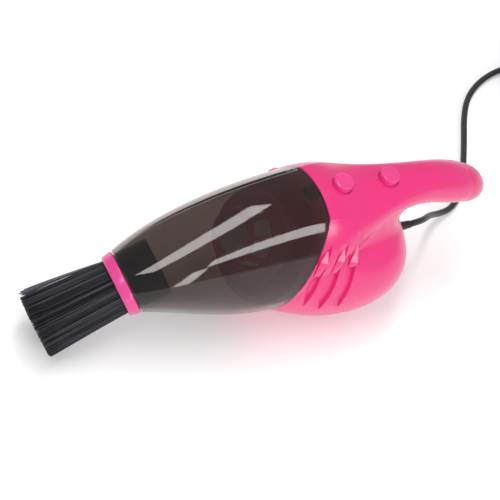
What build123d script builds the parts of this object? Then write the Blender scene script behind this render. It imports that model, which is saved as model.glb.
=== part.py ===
from build123d import *
import math
import os

os.makedirs("parts", exist_ok=True)

# Frame: X runs back from the nozzle to the handle, Z is up, Y is to the right of the machine.
# The origin is the middle of the flat on the belly that the machine rests on.

# Driving sizes in millimetres
cup_length = 80.7
pod_length = 80.0
handle_reach = 116.3
body_half_width = 37.5
body_half_height = 40.0
seam_x = -27.3
seam_z = 52.1
seam_tilt = 20.0
nozzle_radius = 16.6
nozzle_z = 38.3
nozzle_tilt = -29.0
handle_radius = 11.0
handle_end_radius = 9.6
nose_radius = 10.1
nose_length = 19.0
nose_set = 3.0
cup_wall = 2.0
housing_wall = 2.4

# Clearances
seam_gap = 0.3
slide_gap = 0.3
running_gap = 0.05
fit_gap = 0.15
overrun = 5.0

# Cup spigot, bulkhead and intake
spigot_length = 5.0
spigot_wall = 1.8
spigot_drop = 2.6
spigot_narrow = 1.0
ledge_depth = 2.0
ledge_thick = 1.5
back_ledge_radius = 29.0
back_ledge_top = 16.0
bulkhead_bite = 1.0
bulkhead_thick = 3.0
intake_radius = 14.0
intake_hub_radius = 3.5
spoke_width = 1.6
spoke_count = 6
axis_drop = 3.0

# Filter
filter_seat_length = 6.0
filter_flange_radius = 23.5
filter_flange_thick = 2.4
filter_neck_radius = 17.0
filter_tip_radius = 13.5
filter_front_rim = 1.4
filter_length = 30.0
filter_flange_place = 15.0
filter_wall = 1.6
filter_rib_width = 2.2
filter_rib_count = 8
cloth_wall = 0.8

# Brush head
collar_width = 5.8
collar_back_radius = 16.8
collar_front_radius = 15.6
sleeve_radius = 14.3
sleeve_bore = 9.0
sleeve_insert = 17.0
sleeve_wall = 1.6
bristle_length = 43.0
bristle_sectors = 6
bristle_rings = 4
bristle_inner_radius = 10.0
bristle_outer_radius = 13.5
bristle_flare = 1.2
bristle_pitch = 0.78
bristle_thickness = 0.25
bristle_bite = 0.4
bristle_uneven = 2.4
bristle_backing = 1.5

# Motor, fan and their carrier
impeller_radius = 24.5
impeller_place = 6.5
impeller_depth = 13.0
impeller_disc = 1.4
impeller_hub_radius = 4.0
blade_count = 9
blade_thick = 1.2
blade_inner_radius = 9.0
blade_sweep = 35.0
bracket_place = 23.0
bracket_thick = 2.6
bracket_slot_width = 7.0
bracket_slot_length = 9.0
bracket_slot_reach = 18.5
bracket_top = 22.0
bracket_slot_count = 6
motor_radius = 12.0
motor_length = 30.0
motor_can_wall = 0.9
motor_boss_radius = 4.0
motor_boss_height = 2.0
end_cap_thick = 3.5
shaft_radius = 1.0
shaft_tail = 1.4
bush_radius = 2.4
magnet_thick = 3.0
magnet_place = 4.0
magnet_length = 20.0
magnet_angle = 120.0
armature_radius = 7.6
armature_length = 17.0
armature_poles = 3
pole_gap_width = 2.2
commutator_radius = 2.6
commutator_length = 4.0
armature_place = 5.5
commutator_place = 24.0
terminal_width = 2.4
terminal_thick = 0.5
terminal_length = 5.0
terminal_reach = 7.0
bracket_screw_reach = 8.0
bracket_screw_radius = 1.2
bracket_screw_head_radius = 2.2
bracket_screw_head_height = 1.4
bracket_screw_length = 5.0

# Buttons, latch and switch
button_radius = 5.1
button_edge = 1.0
release_x = -1.6
release_height = 4.6
release_travel = 2.2
power_x = 28.0
power_height = 3.2
power_travel = 2.0
button_flange_radius = 6.4
button_flange_thick = 1.4
release_ceiling_gap = 2.4
power_ceiling_gap = 1.8
stem_radius = 1.9
shelf_thick = 2.0
release_shelf_front = 6.0
release_shelf_back = 4.0
power_shelf_half = 5.6
spring_wire = 0.5
spring_radius = 3.2
spring_turns = 5
spring_free = 6.6
latch_width = 7.0
latch_thick = 1.6
latch_front = 24.4
tooth_depth = 1.8
tooth_height = 1.7
catch_depth = 1.6
catch_gap = 0.35
catch_width = 6.0
notch_gap = 0.6
switch_width = 8.5
switch_height = 8.6
plunger_radius = 1.6
plunger_height = 2.2
plunger_sink = 2.4
plunger_hole_depth = 5.0
pin_length = 4.2
pin_width = 1.0
pin_pitch = 2.8
pin_slot_width = 3.0

# Housing screws, placed by x and z in the middle plane
screw_places = [(-9.0, 9.0), (36.0, 12.5), (12.0, 66.0), (44.0, 70.5), (80.0, 62.0)]
screw_shank_radius = 1.1
screw_head_radius = 2.5
screw_head_height = 1.8
screw_length = 12.0
screw_floor = 2.5
boss_radius = 3.6
pilot_gap = 0.05

# Vents on each side of the housing: x and y of each groove's floor at middle height, and its lean inwards
vent_rows = [(-22.6, 30.6, 13.0), (-12.0, 31.0, 13.5), (-1.4, 30.6, 19.0)]
vent_middle = 50.0
vent_width = 5.6
vent_depth = 1.7
vent_reach = 40.0
vent_lean = 12.0
vent_turn = 7.0
vent_slot_width = 2.6
vent_slot_height = 3.4
vent_slot_rise = 6.0
vent_slot_bite = 4.0

# Cord, strain relief, tie and plug
cord_radius = 1.75
relief_root_radius = 3.6
relief_tip_radius = 2.5
relief_length = 13.0
relief_flange_radius = 4.8
relief_flange_thick = 1.6
relief_hole_radius = 3.2
relief_flange_set = 1.6
coil_radius = 23.25
coil_pitch = 4.2
coil_layer_pitch = 4.0
tie_thick = 0.8
tie_width = 4.0
tie_gap = 0.3
plug_length = 26.0
plug_width = 15.6
plug_height = 8.0
plug_nose = 6.0
plug_nose_radius = 2.6
plug_nose_root = 3.4
plug_edge = 1.6
shell_length = 18.8
shell_width = 12.0
shell_height = 4.5
shell_wall = 0.35
tongue_thick = 1.8
tongue_gap = 0.3
contact_width = 1.1
contact_pitch = 2.3
contact_thick = 0.2
contact_length = 8.0

# Lead wires inside the housing
lead_radius = 0.7

# Section rows: x share, z share, tilt, then shares for top, half width, its height and bottom,
# then how far above level the surface faces at the crease, on the hood and on the flank
cup_middle_shares = [
    (-0.678, 0.845, -14.0, 0.625, 0.640, 0.0, -0.75, 58.0, 46.0),
    (-0.343, 0.970, 4.0, 0.750, 0.787, -0.20, -0.95, 66.0, 44.0),
]
seam_shares = (0.0, 1.0, seam_tilt, 0.875, 0.867, -0.25, -1.025, 68.0, 42.0)
pod_start_shares = (0.0, 1.0, seam_tilt, 0.500, 0.860, -0.25, -1.020, 50.0, 50.0)
pod_shares = [
    (0.341, 0.742, 8.0, 0.800, 1.000, -0.15, -0.985, 50.0, 50.0),
    (0.691, 0.667, 2.0, 0.700, 0.960, -0.10, -0.885, 50.0, 50.0),
    (0.904, 0.640, 0.0, 0.450, 0.680, -0.05, -0.560, 50.0, 50.0),
    (0.967, 0.600, 0.0, 0.240, 0.390, 0.0, -0.280, 50.0, 50.0),
    (1.000, 0.570, 0.0, 0.115, 0.125, 0.0, -0.115, 50.0, 50.0),
]
horn_shares = [
    (0.252, 1.145, 13.0, 0.583, 0.680, 0.0, -0.75, 60.0, 50.0),
    (0.476, 1.336, 9.0, 0.305, 0.400, 0.0, -0.35, 56.0, 50.0),
]
handle_shares = [(0.708, 1.350, 12.0), (0.880, 1.240, 22.0)]
handle_end_share = (0.965, 1.163, 30.0)
round_angle = 50.0

# The cord's route beyond the strain relief, chosen by hand; the relief's tip comes before it
cord_route = [
    (73.0, 0.7, 29.0),
    (81.0, 4.0, 24.6),
    (89.0, 8.8, 17.6),
    (97.5, 13.0, 10.6),
    (107.5, 15.8, 5.0),
    (118.0, 18.6, 2.0),
    (128.0, 25.2, 1.8),
    (137.0, 35.6, 1.8),
    (145.0, 47.6, 1.8),
    (153.5, 61.0, 1.8),
    (162.0, 75.2, 1.8),
    (172.0, 88.0, 1.8),
    (186.5, 97.4, 2.1),
    (203.0, 102.4, 2.9),
    (220.0, 103.4, 2.9),
]
# Where the tail runs beyond the coil, told from the point where it leaves it
tail_steps = [(6.5, 0.0, 0.0), (17.0, -0.4, -2.2), (30.0, -4.6, -7.0), (38.0, -14.0, -10.9), (40.0, -27.0, -10.9)]

# Middle points of the lead wires: switch to motor, motor to cord, cord to switch
lead_middles = [
    [(30.8, 0.4, 55.0), (36.0, 3.4, 49.0), (40.0, 6.4, 40.0), (39.0, 7.0, 30.0)],
    [(36.0, -6.8, 25.8), (41.0, -4.6, 26.6)],
    [(44.4, 1.0, 31.0), (42.0, 0.0, 38.6), (35.0, -2.0, 46.4), (27.4, -1.2, 51.6), (25.2, -0.2, 55.6)],
]
lead_spread = 1.2
lead_end_gap = 0.45


def save(solid, name):
    export_step(solid, f"parts/{name}.step")


def shared_section(row, length):
    up = body_half_height
    sizes = (row[3] * up, row[4] * body_half_width, row[5] * up, row[6] * up)
    return (seam_x + row[0] * length, seam_z * row[1], row[2], *sizes, row[7], row[8])


def round_section(x, z, tilt, radius):
    return (x, z, tilt, radius, radius, 0.0, -radius, round_angle, round_angle)


def section_plane(section):
    tilt = math.radians(section[2])
    return Plane(origin=(section[0], 0, section[1]), x_dir=(0, 1, 0),
                 z_dir=(math.cos(tilt), 0, -math.sin(tilt)))


def section_wire(section, inset=0.0):
    """Hood arc, two flank arcs that end upright at the widest points, and an elliptical belly."""
    top = section[3] - inset
    side_y = section[4] - inset
    side_w = section[5]
    belly = side_w - section[6] - inset
    hood = math.radians(section[7])
    flank = math.radians(section[8])
    lean = (1 - math.sin(hood)) / math.cos(hood)
    flank_radius = (top - side_w - lean * side_y) / (math.sin(flank) - lean * (1 - math.cos(flank)))
    crease_y = side_y - flank_radius * (1 - math.cos(flank))
    crease_w = side_w + flank_radius * math.sin(flank)
    flank_y = side_y - flank_radius * (1 - math.cos(flank / 2))
    flank_w = side_w + flank_radius * math.sin(flank / 2)
    edges = [
        ThreePointArc((-crease_y, crease_w), (0, top), (crease_y, crease_w)),
        ThreePointArc((crease_y, crease_w), (flank_y, flank_w), (side_y, side_w)),
        EllipticalCenterArc((0, side_w), side_y, belly, start_angle=270),
        EllipticalCenterArc((0, side_w), side_y, belly, start_angle=180),
        ThreePointArc((-side_y, side_w), (-flank_y, flank_w), (-crease_y, crease_w)),
    ]
    plane = section_plane(section)
    return Wire([plane * edge for edge in edges])


def body_loft(sections, inset=0.0):
    return Solid.make_loft([section_wire(section, inset) for section in sections])


def cylinder_on(plane, radius, start, end):
    return plane * Pos(0, 0, start) * Cylinder(radius, end - start, align=(Align.CENTER, Align.CENTER, Align.MIN))


def cone_on(plane, start_radius, end_radius, start, end):
    form = Cone(start_radius, end_radius, end - start, align=(Align.CENTER, Align.CENTER, Align.MIN))
    return plane * Pos(0, 0, start) * form


def tube_on(plane, outer, inner, start, end):
    bore = cylinder_on(plane, inner, start - overrun, end + overrun)
    return cylinder_on(plane, outer, start, end) - bore


def slab_on(plane, start, end):
    form = Box(body_span, body_span, end - start, align=(Align.CENTER, Align.CENTER, Align.MIN))
    return plane * Pos(0, 0, start) * form


def block(x0, x1, y0, y1, z0, z1):
    return Pos(x0, y0, z0) * Box(x1 - x0, y1 - y0, z1 - z0, align=(Align.MIN, Align.MIN, Align.MIN))


def block_on(plane, x0, x1, y0, y1, z0, z1):
    return plane * block(x0, x1, y0, y1, z0, z1)


def section_top(section):
    tilt = math.radians(section[2])
    return (section[0] + section[3] * math.sin(tilt), section[1] + section[3] * math.cos(tilt))


def ridge_height(x):
    tops = [section_top(section) for section in [seam] + horn + handle]
    for (x0, z0), (x1, z1) in zip(tops, tops[1:]):
        if x0 <= x <= x1:
            return z0 + (z1 - z0) * (x - x0) / (x1 - x0)
    return tops[-1][1]


def bend_radii(points, share):
    """A bend at each inner point that uses up the given share of its shorter neighbouring run."""
    radii = []
    for before, here, after in zip(points, points[1:], points[2:]):
        run_in = Vector(*here) - Vector(*before)
        run_out = Vector(*after) - Vector(*here)
        turn = math.radians(run_in.get_angle(run_out))
        radii.append(share * min(run_in.length, run_out.length) / math.tan(turn / 2))
    return radii


def tube_along(path, radius):
    start = path @ 0
    profile = Plane(origin=start, z_dir=path % 0) * Circle(radius)
    return sweep(profile, path=path)


def biarc_path(points, tangents):
    """Two arcs from each point to the next, meeting smoothly, through all the points."""
    edges = []
    for p0, p1, t0, t1 in zip(points, points[1:], tangents, tangents[1:]):
        across = p1 - p0
        both = t0 + t1
        spare = 2 * (1 - t0.dot(t1))
        along = across.dot(both)
        reach = (math.sqrt(along ** 2 + spare * across.dot(across)) - along) / spare
        middle = (p0 + p1 + (t0 - t1) * reach) / 2
        first = TangentArc(p0, middle, tangent=t0)
        second = TangentArc(middle, p1, tangent=first % 1)
        edges += [first, second]
    return edges


# Sections of the body
nozzle = round_section(seam_x - cup_length, nozzle_z, nozzle_tilt, nozzle_radius)
cup_middle = [shared_section(row, cup_length) for row in cup_middle_shares]
seam = shared_section(seam_shares, cup_length)
horn = [shared_section(row, handle_reach) for row in horn_shares]
handle = []
for x_share, z_share, tilt in handle_shares:
    handle.append(round_section(seam_x + x_share * handle_reach, seam_z * z_share, tilt, handle_radius))
handle_end = round_section(seam_x + handle_end_share[0] * handle_reach, seam_z * handle_end_share[1],
                           handle_end_share[2], handle_end_radius)
cup_sections = [nozzle] + cup_middle + [seam]
body_span = cup_length + pod_length + handle_reach

seam_plane = section_plane(seam)
axis_plane = Plane(origin=seam_plane.from_local_coords((0, -axis_drop, 0)), x_dir=(0, 1, 0),
                   z_dir=seam_plane.z_dir)
nozzle_plane = section_plane(nozzle)


def pod_loft(inset):
    rows = [pod_start_shares] + pod_shares
    return body_loft([shared_section(row, pod_length - inset) for row in rows], inset)


# Housing form: pod and handle as one, drawn in for the inside and for what fits it
def housing_form(inset):
    outline = EllipticalCenterArc((0, 0), nose_radius - inset, nose_length - inset, start_angle=270, arc_size=180)
    nose_face = Plane.XZ * make_face([outline, Line(outline @ 1, outline @ 0)])
    nose = section_plane(handle_end) * Pos(0, 0, -nose_set) * revolve(nose_face, Axis.Z)
    horn_part = body_loft([seam] + horn + handle + [handle_end], inset)
    return pod_loft(inset) + (horn_part + nose)


pod_end = shared_section(pod_shares[-1], pod_length)
housing_outer = housing_form(0.0) - block(-body_span, body_span, -body_span, body_span, -body_span, 0)
cavity = housing_form(housing_wall)
cavity_fit = housing_form(housing_wall + fit_gap)

# Dust cup, with the rib that the latch holds on its ceiling
cup_outer = body_loft(cup_sections)
cup_inner = body_loft(cup_sections, cup_wall)
latch_top = ridge_height(release_x) - housing_wall - release_ceiling_gap
tooth_top = latch_top + tooth_height
catch_front = tooth_depth + slide_gap - latch_front
catch_rib = block(catch_front, catch_front + catch_depth, -catch_width / 2, catch_width / 2,
                  tooth_top + catch_gap, body_span)
dust_cup = cup_outer - cup_inner
dust_cup = dust_cup + (catch_rib & cup_outer)
dust_cup = dust_cup - slab_on(seam_plane, -seam_gap, overrun)
dust_cup = dust_cup - cylinder_on(nozzle_plane, sleeve_radius + slide_gap, -overrun, sleeve_insert)
save(dust_cup, "dust_cup")

# Brush head: collar, sleeve and six tufts; it faces along minus z of the nozzle plane
collar_front = -seam_gap - collar_width
backing_back = collar_front + bristle_backing
collar = cone_on(nozzle_plane, collar_front_radius, collar_back_radius, collar_front, -seam_gap)
collar = collar - cylinder_on(nozzle_plane, sleeve_radius, collar_front - overrun, overrun)
save(collar, "brush_collar")
sleeve = tube_on(nozzle_plane, sleeve_radius, sleeve_radius - sleeve_wall, backing_back, sleeve_insert)
sleeve = sleeve + tube_on(nozzle_plane, sleeve_radius, sleeve_bore, backing_back, backing_back + sleeve_wall)
save(sleeve, "brush_sleeve")

sector_angle = 360 / bristle_sectors
backing = tube_on(nozzle_plane, sleeve_radius - fit_gap, sleeve_bore + fit_gap, collar_front, backing_back)


def ring_point(radius, angle, z):
    turn = math.radians(angle)
    return nozzle_plane.from_local_coords((radius * math.cos(turn), radius * math.sin(turn), z))


def strand(radius, angle, reach):
    root_z = collar_front + bristle_bite
    root = ring_point(radius, angle, root_z)
    tip = ring_point(radius * bristle_flare, angle, collar_front - reach)
    corners = []
    for corner in range(3):
        lean = math.radians(angle + corner * 120)
        side = (bristle_thickness * math.cos(lean), bristle_thickness * math.sin(lean), 0)
        corners.append(root + nozzle_plane.from_local_coords(side) - nozzle_plane.origin)
    return Solid.extrude(Face(Wire.make_polygon(corners)), tip - root)


def tuft(number):
    first = number * sector_angle
    strands = []
    ring_step = (bristle_outer_radius - bristle_inner_radius) / (bristle_rings - 1)
    for ring in range(bristle_rings):
        radius = bristle_inner_radius + ring * ring_step
        count = round(math.radians(sector_angle) * radius / bristle_pitch)
        for place in range(count):
            angle = first + sector_angle * (place + 0.5) / count
            uneven = ((place * 7 + ring * 3 + number) % 5) / 4
            strands.append(strand(radius, angle, bristle_length - bristle_uneven * uneven))
    reach = sleeve_radius / math.cos(math.radians(sector_angle / 2))
    wedge = [nozzle_plane.from_local_coords((0, 0, collar_front - overrun)),
             ring_point(reach, first, collar_front - overrun),
             ring_point(reach, first + sector_angle, collar_front - overrun)]
    slice_form = Solid.extrude(Face(Wire.make_polygon(wedge)), nozzle_plane.z_dir * (overrun + overrun))
    return (backing & slice_form).solid().fuse(*strands)


for number in range(bristle_sectors):
    save(tuft(number), f"bristles_{number + 1}")

# Front bulkhead: wall with the intake grille, spigot for the cup, seat for the filter, notch for the latch
spigot_inset = cup_wall + slide_gap


def spigot_form(inset):
    front = seam[:3] + (seam[3] - spigot_drop, seam[4] - spigot_narrow) + seam[5:]
    front_wire = section_wire(front, inset).moved(Location(seam_plane.z_dir * -spigot_length))
    back_wire = section_wire(seam, inset).moved(Location(seam_plane.z_dir * bulkhead_bite))
    return Solid.make_loft([front_wire, back_wire], True)


bulkhead = cavity_fit & slab_on(seam_plane, 0, bulkhead_thick)
bulkhead = bulkhead + (spigot_form(spigot_inset) - spigot_form(spigot_inset + spigot_wall))
seat_outer = filter_neck_radius - filter_wall - slide_gap
bulkhead = bulkhead + tube_on(axis_plane, seat_outer, intake_radius, -filter_seat_length, bulkhead_bite)
intake = cylinder_on(axis_plane, intake_radius, -overrun, bulkhead_thick + overrun)
intake = intake - cylinder_on(axis_plane, intake_hub_radius, -overrun, bulkhead_thick + overrun)
for spoke in range(spoke_count):
    turned = axis_plane * Rot(0, 0, spoke * 360 / spoke_count)
    intake = intake - turned * block(0, intake_radius + overrun, -spoke_width / 2, spoke_width / 2,
                                     -overrun, bulkhead_thick + overrun)
bulkhead = bulkhead - intake
notch_half = latch_width / 2 + notch_gap
notch_floor = latch_top - latch_thick - release_travel - notch_gap
bulkhead = bulkhead - block(-body_span, body_span, -notch_half, notch_half, notch_floor, body_span)
save(bulkhead, "front_bulkhead")

# Filter: frame with neck, flange and cage, and the cloth inside it
flange_front = -filter_flange_place - filter_flange_thick
neck_bore = filter_neck_radius - filter_wall
cage_tip = filter_tip_radius - filter_wall
filter_frame = tube_on(axis_plane, filter_neck_radius, neck_bore, -filter_flange_place, -slide_gap)
filter_frame = filter_frame + tube_on(axis_plane, filter_flange_radius, neck_bore, flange_front, -filter_flange_place)
cage = cone_on(axis_plane, filter_tip_radius, filter_neck_radius, -filter_length, flange_front)
cage = cage - cone_on(axis_plane, cage_tip, neck_bore, filter_wall - filter_length, flange_front)
cage = cage - cylinder_on(axis_plane, cage_tip - filter_front_rim, -filter_length - overrun, flange_front)
star = slab_on(axis_plane, -filter_length, filter_wall - filter_length)
for rib in range(filter_rib_count):
    turned = axis_plane * Rot(0, 0, rib * 360 / filter_rib_count)
    star = star + turned * block(0, filter_flange_radius, -filter_rib_width / 2, filter_rib_width / 2,
                                 -filter_length, flange_front)
filter_frame = filter_frame + (cage & star)
save(filter_frame, "filter_frame")
cloth_front = filter_wall + fit_gap - filter_length
cloth_tip = cage_tip - fit_gap
cloth_root = neck_bore - fit_gap
cloth = cone_on(axis_plane, cloth_tip, cloth_root, cloth_front, flange_front)
cloth = cloth - cone_on(axis_plane, cloth_tip - cloth_wall, cloth_root - cloth_wall, cloth_front + cloth_wall,
                        flange_front)
save(cloth, "filter_cloth")

# Impeller and the rest of what turns
impeller_back = impeller_place + impeller_depth
impeller = cylinder_on(axis_plane, impeller_radius, impeller_back - impeller_disc, impeller_back)
impeller = impeller + cylinder_on(axis_plane, impeller_hub_radius, impeller_place, impeller_back)


def blade_point(radius, angle):
    return (radius * math.cos(angle), radius * math.sin(angle))


sweep_angle = math.radians(blade_sweep)
mid_share = 0.4
blade_mid = (blade_inner_radius + impeller_radius) / 2
for blade in range(blade_count):
    thick_in = blade_thick / blade_inner_radius
    thick_mid = blade_thick / blade_mid
    thick_out = blade_thick / impeller_radius
    front = ThreePointArc(blade_point(blade_inner_radius, 0), blade_point(blade_mid, -sweep_angle * mid_share),
                          blade_point(impeller_radius, -sweep_angle))
    back = ThreePointArc(blade_point(blade_inner_radius, thick_in),
                         blade_point(blade_mid, thick_mid - sweep_angle * mid_share),
                         blade_point(impeller_radius, thick_out - sweep_angle))
    rim = Line(front @ 1, back @ 1)
    root = Line(front @ 0, back @ 0)
    face = Face(Wire([front, rim, back, root]))
    turned = axis_plane * Rot(0, 0, blade * 360 / blade_count) * Pos(0, 0, impeller_place)
    impeller = impeller + turned * Solid.extrude(face, Vector(0, 0, impeller_depth))
shaft_end = bracket_place + bracket_thick + motor_length + end_cap_thick + shaft_tail
impeller = impeller - cylinder_on(axis_plane, shaft_radius, -overrun, shaft_end)
save(impeller, "impeller")
save(cylinder_on(axis_plane, shaft_radius, impeller_place, shaft_end), "motor_shaft")

# Motor: bracket, can, magnets, bushes, end cap, terminals, armature and commutator
can_front = bracket_place + bracket_thick
can_back = can_front + motor_length
bracket = cavity_fit & slab_on(axis_plane, bracket_place, can_front)
bracket = bracket - block_on(axis_plane, -body_span, body_span, bracket_top, body_span, 0, shaft_end)
bracket = bracket - cylinder_on(axis_plane, motor_boss_radius + fit_gap, 0, shaft_end)
for slot in range(bracket_slot_count):
    turned = axis_plane * Rot(0, 0, (slot + 0.5) * 360 / bracket_slot_count)
    bracket = bracket - turned * block(bracket_slot_reach - bracket_slot_length / 2,
                                       bracket_slot_reach + bracket_slot_length / 2,
                                       -bracket_slot_width / 2, bracket_slot_width / 2, 0, shaft_end)
can = cylinder_on(axis_plane, motor_radius, can_front, can_back)
can = can - cylinder_on(axis_plane, motor_radius - motor_can_wall, can_front + motor_can_wall, can_back + overrun)
can = can + cylinder_on(axis_plane, motor_boss_radius, can_front - motor_boss_height, can_front + motor_can_wall)
can = can - cylinder_on(axis_plane, bush_radius, 0, shaft_end)
screws = []
for side in (-1, 1):
    screw_plane = axis_plane * Pos(0, side * bracket_screw_reach, 0)
    head = cylinder_on(screw_plane, bracket_screw_head_radius, bracket_place - bracket_screw_head_height,
                       bracket_place)
    shank = cylinder_on(screw_plane, bracket_screw_radius, bracket_place,
                        bracket_place + bracket_screw_length)
    hole = cylinder_on(screw_plane, bracket_screw_radius + pilot_gap, 0, shaft_end)
    bracket = bracket - hole
    can = can - cylinder_on(screw_plane, bracket_screw_radius + pilot_gap, 0, can_front + magnet_place)
    screws.append((head + shank).solid())
save(bracket, "motor_bracket")
save(can, "motor_can")
save(Compound(children=screws), "bracket_screws")

magnet_outer = motor_radius - motor_can_wall
ring = tube_on(axis_plane, magnet_outer, magnet_outer - magnet_thick, can_front + magnet_place,
               can_front + magnet_place + magnet_length)
magnets = []
for side in (0, 1):
    wedge = []
    for turn in (0, -0.5, 0.5):
        angle = math.radians(side * 180 + turn * magnet_angle)
        reach = motor_radius / math.cos(math.radians(magnet_angle / 2)) if turn else 0
        wedge.append(axis_plane.from_local_coords((reach * math.cos(angle), reach * math.sin(angle), can_front)))
    wedge = Solid.extrude(Face(Wire.make_polygon(wedge)), axis_plane.z_dir * motor_length)
    magnets.append((ring & wedge).solid())
save(Compound(children=magnets), "motor_magnets")

end_cap = cylinder_on(axis_plane, motor_radius, can_back, can_back + end_cap_thick)
end_cap = end_cap - cylinder_on(axis_plane, bush_radius, 0, shaft_end)
save(end_cap, "motor_end_cap")
bush_bore = shaft_radius + running_gap
front_bush = tube_on(axis_plane, bush_radius, bush_bore, can_front - motor_boss_height, can_front + motor_can_wall)
back_bush = tube_on(axis_plane, bush_radius, bush_bore, can_back, can_back + end_cap_thick)
save(Compound(children=[front_bush.solid(), back_bush.solid()]), "motor_bushes")
terminals = []
for side in (-1, 1):
    tab_y = side * terminal_reach
    terminals.append(block_on(axis_plane, tab_y - terminal_width / 2, tab_y + terminal_width / 2,
                              -terminal_thick / 2, terminal_thick / 2, can_back + end_cap_thick,
                              can_back + end_cap_thick + terminal_length).solid())
save(Compound(children=terminals), "motor_terminals")

armature_front = can_front + armature_place
armature = tube_on(axis_plane, armature_radius, shaft_radius, armature_front, armature_front + armature_length)
for pole in range(armature_poles):
    turned = axis_plane * Rot(0, 0, pole * 360 / armature_poles)
    armature = armature - turned * block(commutator_radius, motor_radius, -pole_gap_width / 2, pole_gap_width / 2,
                                         0, shaft_end)
save(armature, "armature")
commutator_front = can_front + commutator_place
save(tube_on(axis_plane, commutator_radius, shaft_radius, commutator_front, commutator_front + commutator_length),
     "commutator")

# Release button with its latch and spring, and power button with its switch
latch_bottom = latch_top - latch_thick


def button(x, height, ceiling_gap):
    top = ridge_height(x) + height
    flange_top = ridge_height(x) - housing_wall - ceiling_gap
    axis = Plane(origin=(x, 0, 0))
    cap = cylinder_on(axis, button_radius, flange_top, top)
    cap = fillet(cap.edges().group_by(Axis.Z)[-1], button_edge)
    return cap + cylinder_on(axis, button_flange_radius, flange_top - button_flange_thick, flange_top)


release_axis = Plane(origin=(release_x, 0, 0))
release_flange_bottom = latch_top - button_flange_thick
release_shelf_top = release_flange_bottom - spring_free
release_stem_end = release_shelf_top - shelf_thick
release_button = button(release_x, release_height, release_ceiling_gap)
release_button = release_button + cylinder_on(release_axis, stem_radius, release_stem_end, latch_top)
save(release_button, "release_button")
latch = block(-latch_front, release_x, -latch_width / 2, latch_width / 2, latch_bottom, latch_top)
latch = latch + block(-latch_front, tooth_depth - latch_front, -latch_width / 2, latch_width / 2,
                      latch_top, tooth_top)
latch = latch - cylinder_on(release_axis, button_flange_radius, latch_bottom - overrun, tooth_top)
save(latch, "release_latch")

spring_low = release_shelf_top + spring_wire / 2 + fit_gap
spring_high = release_flange_bottom - spring_wire / 2 - fit_gap
spring_points = []
spring_tangents = []
spring_halves = spring_turns * 2
for half in range(spring_halves + 1):
    angle = math.pi * half
    rise = (spring_high - spring_low) / spring_halves
    spring_points.append(Vector(release_x + spring_radius * math.cos(angle), spring_radius * math.sin(angle),
                                spring_low + rise * half))
    spring_tangents.append(Vector(-math.sin(angle) * spring_radius * math.pi,
                                  math.cos(angle) * spring_radius * math.pi, rise).normalized())
save(tube_along(Wire(biarc_path(spring_points, spring_tangents)), spring_wire / 2), "release_spring")

power_axis = Plane(origin=(power_x, 0, 0))
power_flange_top = ridge_height(power_x) - housing_wall - power_ceiling_gap
switch_top = power_flange_top - button_flange_thick - plunger_height - power_travel
switch_bottom = switch_top - switch_height
power_button = button(power_x, power_height, power_ceiling_gap)
save(power_button, "power_button")
plunger_top = power_flange_top - button_flange_thick
plunger = cylinder_on(power_axis, plunger_radius, switch_top - plunger_sink, plunger_top)
save(plunger, "switch_plunger")
half_switch = switch_width / 2
switch = block(power_x - half_switch, power_x + half_switch, -half_switch, half_switch, switch_bottom, switch_top)
switch = switch - cylinder_on(power_axis, plunger_radius + slide_gap, switch_top - plunger_hole_depth,
                              switch_top + overrun)
save(switch, "switch_body")
pins = []
for side in (-1, 1):
    pin_x = power_x + side * pin_pitch
    pins.append(block(pin_x - pin_width / 2, pin_x + pin_width / 2, -pin_width / 2, pin_width / 2,
                      switch_bottom - pin_length, switch_bottom).solid())
save(Compound(children=pins), "switch_pins")

# Housing shell with ledges, shelves and screw posts, then its openings, then the two halves
ledge_end = bulkhead_thick + ledge_thick
ledge_face = Face(section_wire(seam, housing_wall + ledge_depth))
front_ledge = slab_on(seam_plane, bulkhead_thick, ledge_end)
front_ledge = front_ledge - Solid.extrude(ledge_face, seam_plane.z_dir * (ledge_end + overrun))
front_ledge = front_ledge - block(-body_span, body_span, -notch_half, notch_half, notch_floor, body_span)
back_ledge = slab_on(axis_plane, can_front, can_front + ledge_thick)
back_ledge = back_ledge - cylinder_on(axis_plane, back_ledge_radius, 0, shaft_end)
back_ledge = back_ledge - block_on(axis_plane, -body_span, body_span, back_ledge_top, body_span, 0, shaft_end)
release_shelf = block(release_x - release_shelf_front, release_x + release_shelf_back, -body_span, body_span,
                      release_shelf_top - shelf_thick, release_shelf_top)
power_shelf = block(power_x - power_shelf_half, power_x + power_shelf_half, -body_span, body_span,
                    switch_bottom - shelf_thick, switch_bottom)
hollow = cavity - front_ledge
hollow = hollow - back_ledge
hollow = hollow - release_shelf
hollow = hollow - power_shelf
for screw_x, screw_z in screw_places:
    post_plane = Plane(origin=(screw_x, 0, screw_z), x_dir=(1, 0, 0), z_dir=(0, 1, 0))
    hollow = hollow - cylinder_on(post_plane, boss_radius, -body_span, body_span)
shell = housing_outer - hollow
print("hollow", len(hollow.solids()), "shell", len(shell.solids()))
shell = shell - cylinder_on(release_axis, button_radius + slide_gap, latch_top, body_span)
shell = shell - cylinder_on(power_axis, button_radius + slide_gap, power_flange_top, body_span)
shell = shell - cylinder_on(release_axis, stem_radius + slide_gap, release_stem_end - overrun, latch_top)
shell = shell - block(power_x - pin_pitch - pin_width, power_x + pin_pitch + pin_width, -pin_slot_width / 2,
                      pin_slot_width / 2, switch_bottom - shelf_thick - overrun, switch_bottom + overrun)
relief_plane = Plane(origin=(pod_end[0], 0, pod_end[1]), x_dir=(0, 1, 0), z_dir=(1, 0, 0))
shell = shell - cylinder_on(relief_plane, relief_hole_radius, -housing_wall - overrun, overrun)

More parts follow.
